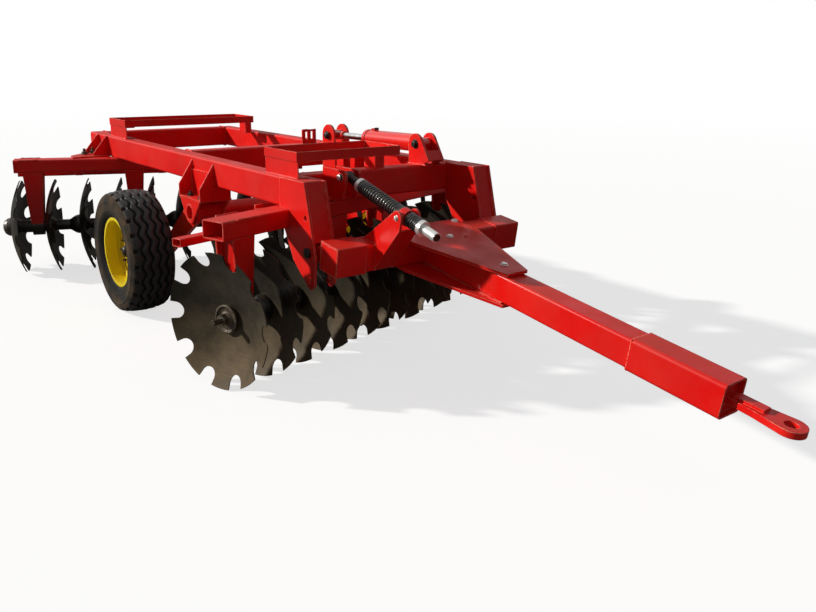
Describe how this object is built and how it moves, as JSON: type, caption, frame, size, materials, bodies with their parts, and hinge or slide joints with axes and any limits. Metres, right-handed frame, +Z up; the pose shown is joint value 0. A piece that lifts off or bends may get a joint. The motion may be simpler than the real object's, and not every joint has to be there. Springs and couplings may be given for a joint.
{
  "type": "trailed offset disc harrow",
  "caption": "Trailed offset disc harrow: box-section frame, notched disc gangs in a V, cylinder-lifted wheels, spring-loaded drawbar.",
  "frame": {"origin": "middle of the drawbar eye's bore, at the front of the harrow on its centre line", "axes": "+X forwards along the direction of travel, +Y to the harrow's left, +Z up"},
  "size_m": [5.3752, 2.3915, 1.128],
  "materials": {
    "red_paint": "glossy red enamel over welded steel",
    "disc_steel": "dark oiled heat-treated disc steel",
    "black_castings": "black painted castings",
    "spring_black": "black painted spring wire",
    "zinc_plate": "bright zinc plated steel",
    "chrome_rod": "hard chromed cylinder rod",
    "tyre": "dusty implement tyre rubber",
    "yellow_rim": "yellow enamel"
  },
  "bodies": {
    "frame": {"right_main_beam": "red_paint", "left_main_beam": "red_paint", "front_cross_beam": "red_paint", "middle_cross_beam": "red_paint", "rear_cross_beam": "red_paint", "front_ballast_tray": "red_paint", "rear_ballast_tray": "red_paint", "right_tow_bracket": "red_paint", "left_tow_bracket": "red_paint", "right_shaft_bracket": "red_paint", "left_shaft_bracket": "red_paint", "cylinder_clevis": "red_paint", "spring_rod_bracket": "red_paint", "hose_rack": "red_paint", "hinge_pins": "black_castings", "front_gang_beam": "red_paint", "front_hangers": "red_paint", "front_bearings": "black_castings", "front_scraper_bar": "red_paint", "front_scrapers": "black_castings", "rear_gang_beam": "red_paint", "rear_hangers": "red_paint", "rear_bearings": "black_castings", "rear_scraper_bar": "red_paint", "gang_clamps": "red_paint"},
    "drawbar": {"hitch_beam": "red_paint", "upper_hitch_plate": "red_paint", "lower_hitch_plate": "red_paint", "drawbar_tube": "red_paint", "drawbar_sleeve": "red_paint", "drawbar_eye": "red_paint", "trunnion_ears": "red_paint"},
    "trunnion": {"trunnion": "red_paint"},
    "levelling_rod": {"levelling_rod": "zinc_plate", "rod_eye": "black_castings", "long_spring": "spring_black", "short_spring": "spring_black"},
    "front_gang": {"front_discs": "disc_steel", "front_spools": "black_castings", "front_gang_axle": "black_castings"},
    "rear_gang": {"rear_discs": "disc_steel", "rear_spools": "black_castings", "rear_gang_axle": "black_castings"},
    "rockshaft": {"rockshaft": "red_paint", "wheel_arms": "red_paint"},
    "right_wheel": {"right_tyre": "tyre", "right_wheel": "yellow_rim"},
    "left_wheel": {"left_tyre": "tyre", "left_wheel": "yellow_rim"},
    "lift_cylinder": {"lift_cylinder": "red_paint"},
    "lift_cylinder_rod": {"lift_cylinder_rod": "chrome_rod", "lift_cylinder_eye": "red_paint"}
  },
  "joints": [
    {"name": "drawbar_hinge", "type": "hinge", "parent": "frame", "child": "drawbar", "pos_m": [-2.07267, 0, 0.27665], "axis": [0, 1, 0], "range_deg": [-8, 8], "deforming": ["long_spring", "short_spring"]},
    {"name": "trunnion_turn", "type": "hinge", "parent": "drawbar", "child": "trunnion", "pos_m": [-1.69267, -0.31, 0.48065], "axis": [0, 1, 0], "range_deg": [-5, 5]},
    {"name": "rod_hinge", "type": "hinge", "parent": "frame", "child": "levelling_rod", "pos_m": [-2.16067, -0.31, 0.60865], "axis": [0, 1, 0], "range_deg": [-8, 8]},
    {"name": "front_gang_spin", "type": "hinge", "parent": "frame", "child": "front_gang", "pos_m": [-2.19167, -1.03, -0.01935], "axis": [-0.284, 0.9588, 0], "continuous": true},
    {"name": "rear_gang_spin", "type": "hinge", "parent": "frame", "child": "rear_gang", "pos_m": [-5.00767, -1.191, -0.01935], "axis": [0.342, 0.9397, 0], "continuous": true},
    {"name": "rockshaft_turn", "type": "hinge", "parent": "frame", "child": "rockshaft", "pos_m": [-3.26367, 0, 0.29565], "axis": [0, 1, 0], "range_deg": [-18, 22]},
    {"name": "right_wheel_spin", "type": "hinge", "parent": "rockshaft", "child": "right_wheel", "pos_m": [-3.66067, -0.885, 0.02265], "axis": [0, 1, 0], "continuous": true},
    {"name": "left_wheel_spin", "type": "hinge", "parent": "rockshaft", "child": "left_wheel", "pos_m": [-3.66067, 0.885, 0.02265], "axis": [0, 1, 0], "continuous": true},
    {"name": "cylinder_base", "type": "hinge", "parent": "frame", "child": "lift_cylinder", "pos_m": [-2.38567, 0.35, 0.72065], "axis": [0, 1, 0], "range_deg": [-2, 2]},
    {"name": "cylinder_stroke", "type": "slide", "parent": "lift_cylinder", "child": "lift_cylinder_rod", "axis": [-0.9997, 0, -0.0225], "range_m": [-0.17, 0.17]}
  ],
  "couplings": [
    {"joint": "rod_hinge", "follows": "drawbar_hinge", "ratio": 0.6458},
    {"joint": "trunnion_turn", "follows": "drawbar_hinge", "ratio": -0.3542},
    {"joint": "cylinder_stroke", "follows": "rockshaft_turn", "m_per_rad": -0.3964}
  ]
}
